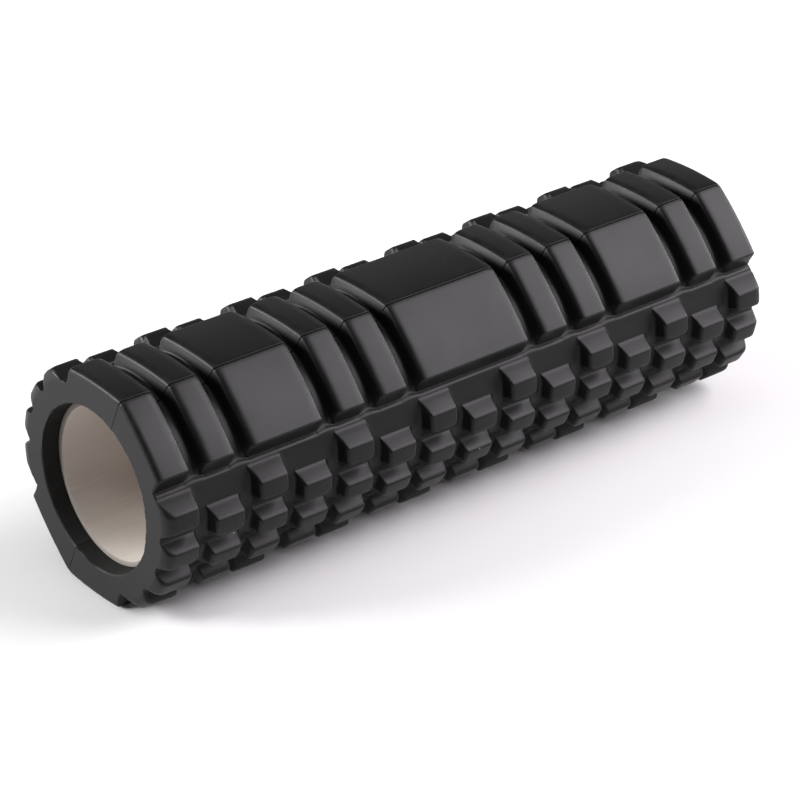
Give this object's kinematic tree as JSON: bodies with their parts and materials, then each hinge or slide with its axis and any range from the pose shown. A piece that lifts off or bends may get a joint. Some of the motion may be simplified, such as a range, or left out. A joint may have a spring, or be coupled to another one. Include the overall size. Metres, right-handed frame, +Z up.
{
  "type": "foam roller",
  "caption": "Hollow massage roller: a black moulded foam sleeve with ribbed flat-topped panels and zones of wedge-shaped knobs, glued around a light plastic core tube.",
  "frame": {"origin": "the middle of the roller, on its axis", "axes": "+X along the roller's axis, +Z up as it lies on the facet below, -Y towards the front"},
  "size_m": [0.3, 0.0952, 0.0922],
  "materials": {
    "foam": "black closed-cell EVA foam with a satin moulded skin",
    "core_plastic": "warm light grey extruded plastic, satin"
  },
  "bodies": {
    "root": {"sleeve_half_front": "foam", "sleeve_half_rear": "foam", "core_tube": "core_plastic"}
  },
  "joints": []
}
